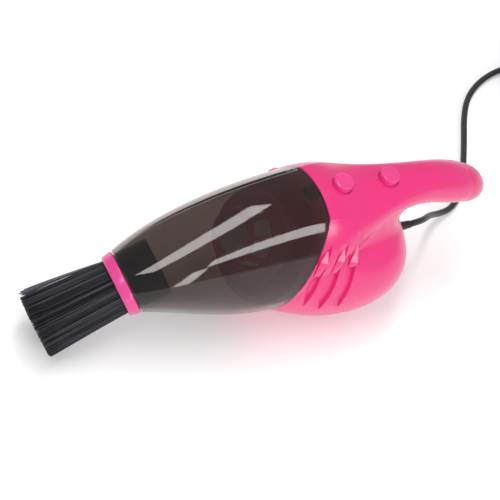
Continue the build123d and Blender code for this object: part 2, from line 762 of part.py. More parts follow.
drawn_in = housing_form(vent_depth)
for side in (-1, 1):
    for vent_x, vent_y, lean_in in vent_rows:
        floor = Pos(vent_x, side * vent_y, vent_middle) * Rot(0, 0, -side * vent_turn)
        floor = floor * Rot(side * lean_in, 0, 0) * Rot(0, vent_lean, 0)
        near, far = (0, vent_reach) if side > 0 else (-vent_reach, 0)
        groove = floor * block(-vent_width / 2, vent_width / 2, near, far, -vent_reach, vent_reach)
        shell = shell - (groove - drawn_in)
        shell = shell - floor * block(-vent_slot_width / 2, vent_slot_width / 2, -vent_slot_bite, vent_slot_bite,
                                      vent_slot_rise, vent_slot_rise + vent_slot_height)

left_cut = block(-body_span, body_span, 0, body_span, -body_span, body_span)
right_cut = block(-body_span, body_span, -body_span, 0, -body_span, body_span)
housing_left = shell - left_cut
housing_right = shell - right_cut
screws = []
for screw_x, screw_z in screw_places:
    post_plane = Plane(origin=(screw_x, 0, screw_z), x_dir=(1, 0, 0), z_dir=(0, 1, 0))
    tip = screw_floor - screw_length
    hole_radius = screw_shank_radius + pilot_gap
    housing_left = housing_left - cylinder_on(post_plane, hole_radius, tip - fit_gap, overrun)
    housing_right = housing_right - cylinder_on(post_plane, hole_radius, -overrun, screw_floor + overrun)
    housing_right = housing_right - cylinder_on(post_plane, screw_head_radius + slide_gap, screw_floor, body_span)
    screw = cylinder_on(post_plane, screw_shank_radius, tip, screw_floor)
    screw = screw + cylinder_on(post_plane, screw_head_radius, screw_floor, screw_floor + screw_head_height)
    screws.append(screw.solid())
save(housing_left, "housing_left")
save(housing_right, "housing_right")
save(Compound(children=screws), "housing_screws")
print("halves", len(housing_left.solids()), len(housing_right.solids()))

# Strain relief, cord, coil, tail, tie and plug
relief = cone_on(relief_plane, relief_root_radius, relief_tip_radius, fit_gap, relief_length)
relief_front = -housing_wall - relief_flange_set
relief_back = relief_front - relief_flange_thick
relief = relief + cylinder_on(relief_plane, relief_hole_radius - fit_gap, relief_front, fit_gap)
relief = relief + cylinder_on(relief_plane, relief_flange_radius, relief_back, relief_front)
save(relief, "cord_relief")
relief_tip = (pod_end[0] + relief_length + slide_gap, 0.0, pod_end[1])
route = [relief_tip] + cord_route
run_share = 0.45
route_radii = bend_radii(route, run_share)
print("cord radii", [round(radius, 1) for radius in route_radii])
cord_path = FilletPolyline(*route, radius=route_radii)
cord = tube_along(cord_path, cord_radius)
save(cord, "cord")

heading = (cord_path % 1)
flat = Vector(heading.X, heading.Y, 0).normalized()
lead_in = Line(cord_path @ 1, (cord_path @ 1) + flat * (2 * cord_radius))
coil_start = lead_in @ 1
coil_center = coil_start + Vector(flat.Y, -flat.X, 0) * coil_radius
first_angle = math.atan2(coil_start.Y - coil_center.Y, coil_start.X - coil_center.X)
half_step = coil_pitch / 2
winding = []
radius = coil_radius
layer = 0
slope = -1
for half in range(17):
    winding.append((radius, layer, slope))
    if half in (4, 8, 12):
        layer += 1
        slope = -slope
    else:
        radius += slope * half_step
coil_points = []
coil_tangents = []
for half, (radius, layer, slope) in enumerate(winding):
    angle = first_angle - math.pi * half
    out = Vector(math.cos(angle), math.sin(angle), 0)
    ahead = Vector(math.sin(angle), -math.cos(angle), 0)
    coil_points.append(Vector(coil_center.X, coil_center.Y, coil_start.Z + layer * coil_layer_pitch) + out * radius)
    coil_tangents.append((ahead * (math.pi * radius) + out * (slope * half_step)).normalized())
coil_tangents[0] = flat
coil_edges = biarc_path(coil_points, coil_tangents)
tail_heading = coil_tangents[-1]
lead_out = Line(coil_points[-1], coil_points[-1] + tail_heading * (2 * cord_radius))
coil_path = Wire([lead_in] + coil_edges + [lead_out])
coil_tube = tube_along(coil_path, cord_radius)
save(coil_tube, "cord_coil")

# The least gap of the coil to itself, on points along it
samples = []
sample_count = 1700
for number in range(sample_count + 1):
    samples.append((coil_path.length * number / sample_count, coil_path @ (number / sample_count)))
least = body_span
skip = 6 * cord_radius
for number in range(0, len(samples), 4):
    place, point = samples[number]
    for other_place, other in samples[number + 1:]:
        if other_place - place > skip:
            least = min(least, (other - point).length)
print("coil gap", round(least - 2 * cord_radius, 2))

tail_start = coil_path @ 1
tail_side = Vector(-tail_heading.Y, tail_heading.X, 0)
tail_points = [tail_start]
for ahead_step, side_step, up_step in tail_steps:
    tail_points.append(tail_start + tail_heading * ahead_step + tail_side * side_step + Vector(0, 0, up_step))
tail_points = [tuple(point) for point in tail_points]
tail_radii = bend_radii(tail_points, run_share)
print("tail radii", [round(radius, 1) for radius in tail_radii])
tail_path = FilletPolyline(*tail_points, radius=tail_radii)
tail = tube_along(tail_path, cord_radius)
save(tail, "cord_tail")
total = cord_path.length + coil_path.length + tail_path.length
section_area = math.pi * cord_radius ** 2
print("cord lengths", round(cord_path.length, 1), round(coil_path.length, 1), round(tail_path.length, 1), round(total, 1))
print("cord volumes", [round(form.volume / section_area, 1) for form in (cord, coil_tube, tail)])
print("coil center", coil_center, "plug at", tail_path @ 1)

tie_angle = first_angle + math.pi
tie_out = Vector(math.cos(tie_angle), math.sin(tie_angle), 0)
tie_radii = [row[0] for row in winding[1::2]]
tie_inner = min(tie_radii) - cord_radius - tie_gap
tie_outer = max(tie_radii) + cord_radius + tie_gap
tie_low = coil_start.Z - cord_radius - tie_gap
tie_high = coil_start.Z + winding[-1][1] * coil_layer_pitch + cord_radius + tie_gap
tie_plane = Plane(origin=(coil_center.X, coil_center.Y, 0), x_dir=tie_out, z_dir=(0, 0, 1))
tie_half = tie_width / 2
tie = block_on(tie_plane, tie_inner - tie_thick, tie_outer + tie_thick, -tie_half, tie_half, tie_low - tie_thick,
               tie_high + tie_thick)
tie = tie - block_on(tie_plane, tie_inner, tie_outer, -tie_half - overrun, tie_half + overrun, tie_low, tie_high)
save(tie, "cord_tie")

plug_heading = Vector(*tail_points[-1]) - Vector(*tail_points[-2])
plug_heading = Vector(plug_heading.X, plug_heading.Y, 0).normalized()
plug_plane = Plane(origin=tail_path @ 1, x_dir=(-plug_heading.Y, plug_heading.X, 0), z_dir=plug_heading)
grip = block_on(plug_plane, -plug_width / 2, plug_width / 2, -plug_height / 2, plug_height / 2, plug_nose, plug_length)
grip = fillet(grip.edges().filter_by(Axis(plug_plane.origin, plug_plane.z_dir)), plug_edge)
grip = grip + cone_on(plug_plane, plug_nose_radius, plug_nose_root, 0, plug_nose)
save(grip, "plug_grip")
half_shell = shell_width / 2
half_shell_height = shell_height / 2
shell_end = plug_length + shell_length
plug_shell = block_on(plug_plane, -half_shell, half_shell, -half_shell_height, half_shell_height, plug_length, shell_end)
plug_shell = plug_shell - block_on(plug_plane, shell_wall - half_shell, half_shell - shell_wall,
                                   shell_wall - half_shell_height, half_shell_height - shell_wall,
                                   plug_length, shell_end + overrun)
save(plug_shell, "plug_shell")
tongue_half = half_shell - shell_wall - tongue_gap
tongue_low = shell_wall - half_shell_height
tongue = block_on(plug_plane, -tongue_half, tongue_half, tongue_low, tongue_low + tongue_thick, plug_length,
                  shell_end - tongue_gap)
save(tongue, "plug_tongue")
contacts = []
for place in (-1.5, -0.5, 0.5, 1.5):
    middle = place * contact_pitch
    contacts.append(block_on(plug_plane, middle - contact_width / 2, middle + contact_width / 2,
                             tongue_low + tongue_thick, tongue_low + tongue_thick + contact_thick,
                             shell_end - tongue_gap - contact_length, shell_end - tongue_gap).solid())
save(Compound(children=contacts), "plug_contacts")

# Lead wires between cord, switch and motor
terminal_end = can_back + end_cap_thick + terminal_length + fit_gap
right_terminal = tuple(axis_plane.from_local_coords((terminal_reach, 0, terminal_end)))
left_terminal = tuple(axis_plane.from_local_coords((-terminal_reach, 0, terminal_end)))
cord_inside = pod_end[0] + relief_back - lead_end_gap
pin_end = switch_bottom - pin_length - fit_gap
lead_ends = [
    ((power_x + pin_pitch, 0.0, pin_end), right_terminal),
    (left_terminal, (cord_inside, -lead_spread, pod_end[1])),
    ((cord_inside, lead_spread, pod_end[1]), (power_x - pin_pitch, 0.0, pin_end)),
]
leads = []
for (first, last), middle in zip(lead_ends, lead_middles):
    points = [first] + middle + [last]
    path = FilletPolyline(*points, radius=bend_radii(points, run_share))
    leads.append(tube_along(path, lead_radius).solid())
save(Compound(children=leads), "lead_wires")
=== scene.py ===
import math
import bpy
import numpy as np
from mathutils import Matrix, Vector
from mathutils.bvhtree import BVHTree


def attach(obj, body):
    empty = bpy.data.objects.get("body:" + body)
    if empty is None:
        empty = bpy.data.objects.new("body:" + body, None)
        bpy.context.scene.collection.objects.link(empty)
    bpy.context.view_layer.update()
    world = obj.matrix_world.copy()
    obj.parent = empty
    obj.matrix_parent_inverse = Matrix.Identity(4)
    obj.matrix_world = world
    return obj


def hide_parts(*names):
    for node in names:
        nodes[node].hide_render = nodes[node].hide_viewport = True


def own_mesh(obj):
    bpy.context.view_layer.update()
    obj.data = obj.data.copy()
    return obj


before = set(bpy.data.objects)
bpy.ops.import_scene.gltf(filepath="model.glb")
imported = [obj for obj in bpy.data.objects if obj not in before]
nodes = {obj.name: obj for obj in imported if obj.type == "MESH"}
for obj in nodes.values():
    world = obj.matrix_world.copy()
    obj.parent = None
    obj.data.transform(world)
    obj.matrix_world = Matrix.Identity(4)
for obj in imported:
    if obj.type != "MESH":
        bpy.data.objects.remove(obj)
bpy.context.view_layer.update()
mm = 0.001
rng = np.random.default_rng(7)
print("frame loaded:", len(nodes), "nodes")


# colours and materials

def srgb(code):
    values = np.array([int(code[i:i + 2], 16) / 255 for i in (1, 3, 5)])
    linear = np.where(values <= 0.04045, values / 12.92, ((values + 0.055) / 1.055) ** 2.4)
    return (*linear.tolist(), 1.0)


def addNode(tree, kind, settings=None, inputs=None):
    node = tree.nodes.new(kind)
    for key, value in (settings or {}).items():
        setattr(node, key, value)
    for key, value in (inputs or {}).items():
        if isinstance(value, bpy.types.NodeSocket):
            tree.links.new(value, node.inputs[key])
        else:
            node.inputs[key].default_value = value
    return node


def newMaterial(name):
    material = bpy.data.materials.new(name)
    material.use_nodes = True
    tree = material.node_tree
    tree.nodes.clear()
    where = addNode(tree, "ShaderNodeTexCoord").outputs["Object"]
    return material, tree, where


def surfaceOf(tree, inputs):
    shader = addNode(tree, "ShaderNodeBsdfPrincipled", {}, inputs)
    addNode(tree, "ShaderNodeOutputMaterial", {}, {"Surface": shader.outputs["BSDF"]})


seamHalfWidth = 0.1


# ABS, injection moulded and polished: clean gloss, a faint flow pattern over centimetres,
# and on the housing a hair line 0.2 mm wide where its two halves meet
def mouldedAbs(name, low, high, roughness, seam=None):
    material, tree, where = newMaterial(name)
    flow = addNode(tree, "ShaderNodeTexNoise", {},
                   {"Vector": where, "Scale": 38.0, "Detail": 2.0}).outputs["Fac"]
    colour = addNode(tree, "ShaderNodeMix", {"data_type": "RGBA"},
                     {0: flow, 6: srgb(low), 7: srgb(high)}).outputs[2]
    if seam:
        across = addNode(tree, "ShaderNodeSeparateXYZ", {}, {"Vector": where}).outputs["Y"]
        line = addNode(tree, "ShaderNodeMath", {"operation": "COMPARE"},
                       {0: across, 1: 0.0, 2: seamHalfWidth * mm}).outputs[0]
        colour = addNode(tree, "ShaderNodeMix", {"data_type": "RGBA"},
                         {0: line, 6: colour, 7: srgb(seam)}).outputs[2]
    gloss = addNode(tree, "ShaderNodeMapRange", {},
                    {"Value": flow, "To Min": roughness - 0.05, "To Max": roughness + 0.05})
    surfaceOf(tree, {"Base Color": colour, "Roughness": gloss.outputs["Result"],
                     "IOR": 1.53, "Coat Weight": 0.15, "Coat Roughness": 0.08})
    return material


# polycarbonate, tinted smoky in the mass: clear gloss, light loses most of itself in two walls
def smokyPolycarbonate(name, low, high):
    material, tree, where = newMaterial(name)
    flow = addNode(tree, "ShaderNodeTexNoise", {},
                   {"Vector": where, "Scale": 30.0, "Detail": 2.0}).outputs["Fac"]
    colour = addNode(tree, "ShaderNodeMix", {"data_type": "RGBA"}, {0: flow, 6: srgb(low), 7: srgb(high)})
    gloss = addNode(tree, "ShaderNodeMapRange", {}, {"Value": flow, "To Min": 0.02, "To Max": 0.05})
    surfaceOf(tree, {"Base Color": colour.outputs[2], "Roughness": gloss.outputs["Result"],
                     "Transmission Weight": 1.0, "IOR": 1.45})
    return material


# nylon, acetal, ferrite and wire sheath: matt, with a grain of 0.3 mm
def mattPlastic(name, low, high, roughness):
    material, tree, where = newMaterial(name)
    grain = addNode(tree, "ShaderNodeTexNoise", {},
                    {"Vector": where, "Scale": 3300.0, "Detail": 1.0}).outputs["Fac"]
    tone = addNode(tree, "ShaderNodeTexNoise", {},
                   {"Vector": where, "Scale": 60.0, "Detail": 2.0}).outputs["Fac"]
    colour = addNode(tree, "ShaderNodeMix", {"data_type": "RGBA"}, {0: tone, 6: srgb(low), 7: srgb(high)})
    gloss = addNode(tree, "ShaderNodeMapRange", {},
                    {"Value": grain, "To Min": roughness - 0.06, "To Max": roughness + 0.06})
    relief = addNode(tree, "ShaderNodeBump", {}, {"Height": grain, "Strength": 0.15, "Distance": 0.1 * mm})
    surfaceOf(tree, {"Base Color": colour.outputs[2], "Roughness": gloss.outputs["Result"],
                     "Normal": relief.outputs["Normal"], "IOR": 1.5})
    return material


# nylon filament, drawn: each strand a little lighter or darker, sheen along it
def nylonFilament(name, low, high):
    material, tree = newMaterial(name)[:2]
    tone = addNode(tree, "ShaderNodeAttribute", {"attribute_name": "strandTone"}).outputs["Fac"]
    colour = addNode(tree, "ShaderNodeMix", {"data_type": "RGBA"}, {0: tone, 6: srgb(low), 7: srgb(high)})
    surfaceOf(tree, {"Base Color": colour.outputs[2], "Roughness": 0.5,
                     "Specular IOR Level": 0.3, "IOR": 1.53})
    return material


# steel, bronze and copper as drawn or turned: fine lines 0.4 mm apart
def turnedMetal(name, low, high, roughness):
    material, tree, where = newMaterial(name)
    lines = addNode(tree, "ShaderNodeTexWave", {"bands_direction": "Z"},
                    {"Vector": where, "Scale": 800.0, "Distortion": 3.0}).outputs["Fac"]
    wear = addNode(tree, "ShaderNodeTexNoise", {},
                   {"Vector": where, "Scale": 120.0, "Detail": 3.0}).outputs["Fac"]
    colour = addNode(tree, "ShaderNodeMix", {"data_type": "RGBA"}, {0: wear, 6: srgb(low), 7: srgb(high)})
    gloss = addNode(tree, "ShaderNodeMapRange", {},
                    {"Value": lines, "To Min": roughness - 0.05, "To Max": roughness + 0.08})
    surfaceOf(tree, {"Base Color": colour.outputs[2], "Roughness": gloss.outputs["Result"], "Metallic": 1.0})
    return material


# filter cloth, woven monofilament: threads about 0.3 mm apart, with specks of dust between them
def wovenCloth(name, low, high):
    material, tree, where = newMaterial(name)
    uv = addNode(tree, "ShaderNodeTexCoord").outputs["UV"]
    warp = addNode(tree, "ShaderNodeTexWave", {"bands_direction": "X"},
                   {"Vector": uv, "Scale": 1.0}).outputs["Fac"]
    weft = addNode(tree, "ShaderNodeTexWave", {"bands_direction": "Y"},
                   {"Vector": uv, "Scale": 1.0}).outputs["Fac"]
    weave = addNode(tree, "ShaderNodeMath", {"operation": "MULTIPLY"}, {0: warp, 1: weft}).outputs[0]
    speck = addNode(tree, "ShaderNodeTexNoise", {},
                    {"Vector": where, "Scale": 700.0, "Detail": 2.0}).outputs["Fac"]
    tone = addNode(tree, "ShaderNodeMath", {"operation": "MULTIPLY"}, {0: weave, 1: speck}).outputs[0]
    colour = addNode(tree, "ShaderNodeMix", {"data_type": "RGBA"}, {0: tone, 6: srgb(low), 7: srgb(high)})
    relief = addNode(tree, "ShaderNodeBump", {}, {"Height": weave, "Strength": 0.6, "Distance": 0.2 * mm})
    surfaceOf(tree, {"Base Color": colour.outputs[2], "Roughness": 0.85, "Normal": relief.outputs["Normal"]})
    return material


# PVC cord sheath, extruded: soft sheen, slight scuffs
def pvcSheath(name, low, high):
    material, tree, where = newMaterial(name)
    scuff = addNode(tree, "ShaderNodeTexNoise", {},
                    {"Vector": where, "Scale": 260.0, "Detail": 4.0}).outputs["Fac"]
    colour = addNode(tree, "ShaderNodeMix", {"data_type": "RGBA"}, {0: scuff, 6: srgb(low), 7: srgb(high)})
    gloss = addNode(tree, "ShaderNodeMapRange", {}, {"Value": scuff, "To Min": 0.35, "To Max": 0.55})
    relief = addNode(tree, "ShaderNodeBump", {}, {"Height": scuff, "Strength": 0.08, "Distance": 0.1 * mm})
    surfaceOf(tree, {"Base Color": colour.outputs[2], "Roughness": gloss.outputs["Result"],
                     "Normal": relief.outputs["Normal"], "IOR": 1.52})
    return material


# paper, matt: white where it is seen, and it still takes the shadow
def palePaper(name, lift):
    material, tree, where = newMaterial(name)
    fibre = addNode(tree, "ShaderNodeTexNoise", {}, {"Vector": where, "Scale": 4.0}).outputs["Fac"]
    colour = addNode(tree, "ShaderNodeMix", {"data_type": "RGBA"},
                     {0: fibre, 6: srgb("#f6f6f6"), 7: srgb("#fafafa")})
    path = addNode(tree, "ShaderNodeLightPath").outputs
    bent = addNode(tree, "ShaderNodeMath", {"operation": "MAXIMUM"},
                   {0: path["Is Glossy Ray"], 1: path["Is Transmission Ray"]})
    seen = addNode(tree, "ShaderNodeMath", {"operation": "MAXIMUM"},
                   {0: path["Is Camera Ray"], 1: bent.outputs[0]})
    glow = addNode(tree, "ShaderNodeMapRange", {}, {"Value": seen.outputs[0], "To Min": 0.0, "To Max": lift})
    surfaceOf(tree, {"Base Color": colour.outputs[2], "Roughness": 0.9,
                     "Emission Color": srgb("#ffffff"), "Emission Strength": glow.outputs["Result"]})
    return material


finishes = {
    "pinkAbs": mouldedAbs("pinkAbs", "#ea2a79", "#ee3081", 0.26),
    "housingAbs": mouldedAbs("pinkHousingAbs", "#ea2a79", "#ee3081", 0.26, seam="#da2670"),
    "buttonAbs": mouldedAbs("pinkButtonAbs", "#ee3a88", "#f24290", 0.3),
    "collarAbs": mouldedAbs("pinkCollarAbs", "#e2408f", "#e74897", 0.2),
    "pinkFrame": mouldedAbs("pinkFrameAbs", "#e0608c", "#e66c96", 0.4),
    "smoky": smokyPolycarbonate("smokyPolycarbonate", "#897c78", "#918480"),
    "blackNylon": mattPlastic("blackNylon", "#1a1a1d", "#242428", 0.5),
    "whiteAcetal": mattPlastic("whiteAcetal", "#dedcd6", "#e8e6e0", 0.45),
    "ferrite": mattPlastic("sinteredFerrite", "#2f2f31", "#3d3d40", 0.7),
    "redPvc": mattPlastic("redPvc", "#8f1d1d", "#a32626", 0.4),
    "filament": nylonFilament("nylonFilament", "#0e0e18", "#94929d"),
    "steel": turnedMetal("turnedSteel", "#b4b4b6", "#c4c4c6", 0.3),
    "zinc": turnedMetal("zincPlatedSteel", "#c3c5c8", "#d2d3d5", 0.28),
    "bronze": turnedMetal("phosphorBronze", "#b8894a", "#c79a5b", 0.32),
    "copper": turnedMetal("turnedCopper", "#b56a40", "#c47a4e", 0.3),
    "cloth": wovenCloth("wovenFilterCloth", "#efe6e2", "#8d807e"),
    "pvc": pvcSheath("blackPvc", "#1c1c20", "#34343a"),
}
nodeFinishes = {
    "pinkAbs": ["front_bulkhead", "release_latch"],
    "housingAbs": ["housing_left", "housing_right"],
    "buttonAbs": ["release_button", "power_button"],
    "pinkFrame": ["filter_frame"],
    "blackNylon": ["brush_sleeve", "motor_end_cap", "switch_body", "cord_tie"],
    "whiteAcetal": ["impeller", "motor_bracket", "switch_plunger", "plug_tongue"],
    "ferrite": ["motor_magnets"],
    "steel": ["motor_shaft", "bracket_screws", "armature", "housing_screws"],
    "zinc": ["motor_can", "plug_shell"],
    "bronze": ["motor_bushes", "motor_terminals", "switch_pins", "plug_contacts"],
    "copper": ["commutator"],
    "pvc": ["plug_grip"],
    "redPvc": ["lead_wires"],
}
for finish, names in nodeFinishes.items():
    for name in names:
        nodes[name].data.materials.clear()
        nodes[name].data.materials.append(finishes[finish])
print("materials on nodes")


# meshes from whole arrays

def gridFaces(rows, cols, wrapRows=False, wrapCols=False):
    r = np.arange(rows if wrapRows else rows - 1)[:, None]
    c = np.arange(cols if wrapCols else cols - 1)[None, :]
    r1, c1 = (r + 1) % rows, (c + 1) % cols
    quads = [r * cols + c, r * cols + c1, r1 * cols + c1, r1 * cols + c]
    return np.stack([np.broadcast_to(q, (r.size, c.size)).ravel() for q in quads], axis=1)


def makePiece(name, points, faces, finish, body):
    mesh = bpy.data.meshes.new(name)
    faces = np.asarray(faces, dtype=np.int32)
    mesh.vertices.add(len(points))
    mesh.vertices.foreach_set("co", np.asarray(points, dtype=np.float32).ravel())
    mesh.loops.add(faces.size)
    mesh.loops.foreach_set("vertex_index", faces.ravel())
    mesh.polygons.add(len(faces))
    mesh.polygons.foreach_set("loop_start", np.arange(0, faces.size, faces.shape[1], dtype=np.int32))
    mesh.update(calc_edges=True)
    mesh.validate()
    mesh.shade_smooth()
    mesh.materials.append(finishes[finish])
    piece = bpy.data.objects.new(name, mesh)
    bpy.context.scene.collection.objects.link(piece)
    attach(piece, body)
    return piece


def axes(origin, tilt):
    turn = math.radians(tilt)
    along = np.array([math.cos(turn), 0, -math.sin(turn)])
    up = np.array([math.sin(turn), 0, math.cos(turn)])
    return np.array(origin) * mm, np.array([0, 1.0, 0]), up, along


def turned(profile, place, steps):
    # a profile of (radius, distance) pairs carried round the axis:
    # P = origin + along*d + r*(cos*side + sin*up)
    origin, side, up, along = place
    r, d = (np.array(profile).T * mm)
    angle = np.linspace(0, 2 * math.pi, steps, endpoint=False)
    ring = np.cos(angle)[:, None] * side + np.sin(angle)[:, None] * up
    points = origin + d[:, None, None] * along + r[:, None, None] * ring[None]
    return points.reshape(-1, 3), gridFaces(len(profile), steps, wrapRows=True, wrapCols=True)


# dust cup: sections of hood arc, two flank arcs and half an ellipse, joined along the cup by one cubic,
# and the rib under its hood that the latch holds
cup = {"wall": 2.0, "catch": [(-22.3, -3.0, 80.65), (-20.7, 3.0, 83.4)], "seamShare": 0.9965,
       "rows": 120, "hood": 48, "flank": 40, "belly": 96,
       "sections": [(-108.0, 38.3, -29.0, 16.6, 16.6, 0.0, -16.6, 50.0, 50.0),
                    (-82.015, 44.025, -14.0, 25.0, 24.0, 0.0, -30.0, 58.0, 46.0),
                    (-54.98, 50.537, 4.0, 30.0, 29.513, -8.0, -38.0, 66.0, 44.0),
                    (-27.3, 52.1, 20.0, 35.0, 32.513, -10.0, -41.0, 68.0, 42.0)]}


def sectionLoops(inset):
    # each section: x, z, tilt, top, half width, height of the widest point, bottom,
    # facing of hood and flank at the crease
    x, z, tilt, top, halfWidth, wideAt, bottom, hood, flank = np.array(cup["sections"]).T[:, :, None]
    tilt, hood, flank = np.radians(tilt), np.radians(hood), np.radians(flank)
    top, halfWidth, depth = top - inset, halfWidth - inset, wideAt - bottom - inset
    lean = (1 - np.sin(hood)) / np.cos(hood)
    bend = (top - wideAt - lean * halfWidth) / (np.sin(flank) - lean * (1 - np.cos(flank)))
    creaseY, creaseW = halfWidth - bend * (1 - np.cos(flank)), wideAt + bend * np.sin(flank)
    hoodRadius = (creaseY ** 2 + (top - creaseW) ** 2) / (2 * (top - creaseW))
    spanned = np.arctan2(creaseY, hoodRadius - (top - creaseW))
    a = spanned * np.linspace(-1, 1, cup["hood"], endpoint=False)
    b = flank * np.linspace(1, 0, cup["flank"], endpoint=False)
    c = np.pi * np.linspace(0, 1, cup["belly"], endpoint=False) + 0 * tilt
    d = flank * np.linspace(0, 1, cup["flank"], endpoint=False)
    y = [hoodRadius * np.sin(a), halfWidth - bend * (1 - np.cos(b)),
         halfWidth * np.cos(c), bend * (1 - np.cos(d)) - halfWidth]
    w = [top - hoodRadius + hoodRadius * np.cos(a), wideAt + bend * np.sin(b),
         wideAt - depth * np.sin(c), wideAt + bend * np.sin(d)]
    y, w = np.concatenate(y, axis=1), np.concatenate(w, axis=1)
    return np.stack([x + w * np.sin(tilt), y, z + w * np.cos(tilt)], axis=-1) * mm


def cupSurface(inset):
    loops = sectionLoops(inset)
    steps = np.linalg.norm(np.diff(loops, axis=0), axis=-1).mean(axis=1)
    knots = np.concatenate([[0], np.cumsum(steps)]) / steps.sum()
    share = np.linspace(0, cup["seamShare"], cup["rows"])
    weights = [np.prod([(share - k) / (knots[i] - k) for k in np.delete(knots, i)], axis=0) for i in range(4)]
    return np.einsum("ir,ijk->rjk", np.array(weights), loops)


outerSkin, innerSkin = cupSurface(0.0), cupSurface(cup["wall"])
rows, cols = outerSkin.shape[:2]
skinFaces = gridFaces(rows, cols, wrapCols=True)
ringNow, ringNext = np.arange(cols), (np.arange(cols) + 1) % cols
half = rows * cols
mouthRim = np.stack([ringNow, ringNow + half, ringNext + half, ringNext], axis=1)
seamRim = np.stack([ringNow, ringNext, ringNext + half, ringNow + half], axis=1) + (rows - 1) * cols
faces = np.concatenate([skinFaces[:, ::-1], skinFaces + half, mouthRim[:, ::-1], seamRim[:, ::-1]])
catchLow, catchHigh = np.array(cup["catch"])[:, None, :] * mm
boxCorners = np.array([[0, 0, 0], [1, 0, 0], [1, 1, 0], [0, 1, 0],
                       [0, 0, 1], [1, 0, 1], [1, 1, 1], [0, 1, 1]])
catchCorners = np.where(boxCorners > 0, catchHigh, catchLow)
catchFaces = np.array([[0, 3, 2, 1], [4, 5, 6, 7], [0, 1, 5, 4], [1, 2, 6, 5], [2, 3, 7, 6], [3, 0, 4, 7]])
points = np.concatenate([outerSkin.reshape(-1, 3), innerSkin.reshape(-1, 3), catchCorners])
faces = np.concatenate([faces, catchFaces + 2 * half])
dustCup = makePiece("dustCup", points, faces, "smoky", "cup")
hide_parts("dust_cup")
print("dust cup", len(faces), "faces")


# housing fillet: soft hollow where the handle springs from the pod, a parabola across each station
fillet = {"stations": 16, "endTurn": 79.0, "turnShares": (0.62, 0.38), "width": 13.0, "endWidth": 1.5,
          "fade": 2.6, "start": 47.0, "heights": (58.0, 63.2), "rays": 53, "apart": 6, "across": 16,
          "perStation": 5, "sink": 0.04}


def leftSkin():
    mesh = nodes["housing_left"].data
    corners = np.zeros(len(mesh.vertices) * 3, dtype=np.float32)
    ring = np.zeros(len(mesh.loops), dtype=np.int32)
    mesh.vertices.foreach_get("co", corners)
    mesh.loops.foreach_get("vertex_index", ring)
    return BVHTree.FromPolygons(corners.reshape(-1, 3).tolist(), ring.reshape(-1, 3).tolist())


def filletStation(skin, share):
    # the deepest of a fan of level rays finds the crease, a step along each skin finds the two feet,
    # and the tangent planes at the feet meet the station's plane in the corner
    even, growing = fillet["turnShares"]
    turn = math.radians(fillet["endTurn"]) * (even * share + growing * share ** 2)
    out = np.array([math.cos(turn), -math.sin(turn), 0.0])
    levels = np.linspace(*fillet["heights"], fillet["rays"])
    hits = [skin.ray_cast(Vector((out * fillet["start"] + [0, 0, z]) * mm), Vector(-out)) for z in levels]
    facing = [hit[1] is not None and np.dot(hit[1], out) > 0 for hit in hits] + [False]
    hits = hits[:facing.index(False)]  # rays above these start inside the handle
    deepest = int(np.argmin([np.dot(hit[0], out) for hit in hits]))
    crease = np.array(hits[deepest][0]) / mm
    podNormal = np.array(hits[max(deepest - fillet["apart"], 0)][1])
    gripNormal = np.array(hits[min(deepest + fillet["apart"], len(hits) - 1)][1])
    along = np.cross(podNormal, gripNormal)
    along = along / np.linalg.norm(along)
    width = fillet["endWidth"] + (fillet["width"] - fillet["endWidth"]) * (1 - share ** fillet["fade"])
    feet = []
    for own, other in ((podNormal, gripNormal), (gripNormal, podNormal)):
        step = np.cross(along, own)
        step = step * np.sign(np.dot(step, other))
        foot, normal = skin.find_nearest(Vector((crease + step * width) * mm))[:2]
        feet.append((np.array(foot) / mm, np.array(normal)))
    (low, lowNormal), (high, highNormal) = feet
    planes = np.array([lowNormal, highNormal, along])
    corner = np.linalg.solve(planes, [lowNormal @ low, highNormal @ high, along @ crease])
    return [low, corner, high]


def smoothRows(table, perRow):
    # cubic between rows with slopes from the neighbours: h00*p0 + h10*m0 + h01*p1 + h11*m1
    slopes = np.gradient(table, axis=0)
    t = np.linspace(0, 1, perRow, endpoint=False)[None, :, None]
    p0, p1, m0, m1 = table[:-1, None], table[1:, None], slopes[:-1, None], slopes[1:, None]
    rows = (2 * t ** 3 - 3 * t ** 2 + 1) * p0 + (t ** 3 - 2 * t ** 2 + t) * m0
    rows = rows + (3 * t ** 2 - 2 * t ** 3) * p1 + (t ** 3 - t ** 2) * m1
    return np.concatenate([rows.reshape(-1, table.shape[1]), table[-1:]])


skin = leftSkin()
shares = (np.arange(fillet["stations"]) + 0.5) / (fillet["stations"] - 0.5)
leftHalf = np.array([filletStation(skin, share) for share in shares]).reshape(-1, 9)
rightHalf = leftHalf * np.array([1, -1, 1] * 3)
feet = smoothRows(np.concatenate([leftHalf[::-1], rightHalf]), fillet["perStation"]).reshape(-1, 3, 3)
t = np.linspace(0, 1, fillet["across"])[None, :, None]
low, corner, high = feet[:, 0:1], feet[:, 1:2], feet[:, 2:3]
strip = (1 - t) ** 2 * low + 2 * t * (1 - t) * corner + t ** 2 * high
inward = (corner - (low + high) / 2) / np.linalg.norm(corner - (low + high) / 2, axis=-1, keepdims=True)
strip = strip + inward * fillet["sink"]
stripFaces = gridFaces(len(feet), fillet["across"])[:, ::-1]
housingFillet = makePiece("housingFillet", strip.reshape(-1, 3) * mm, stripFaces,
                          "housingAbs", "base")
print("housing fillet")


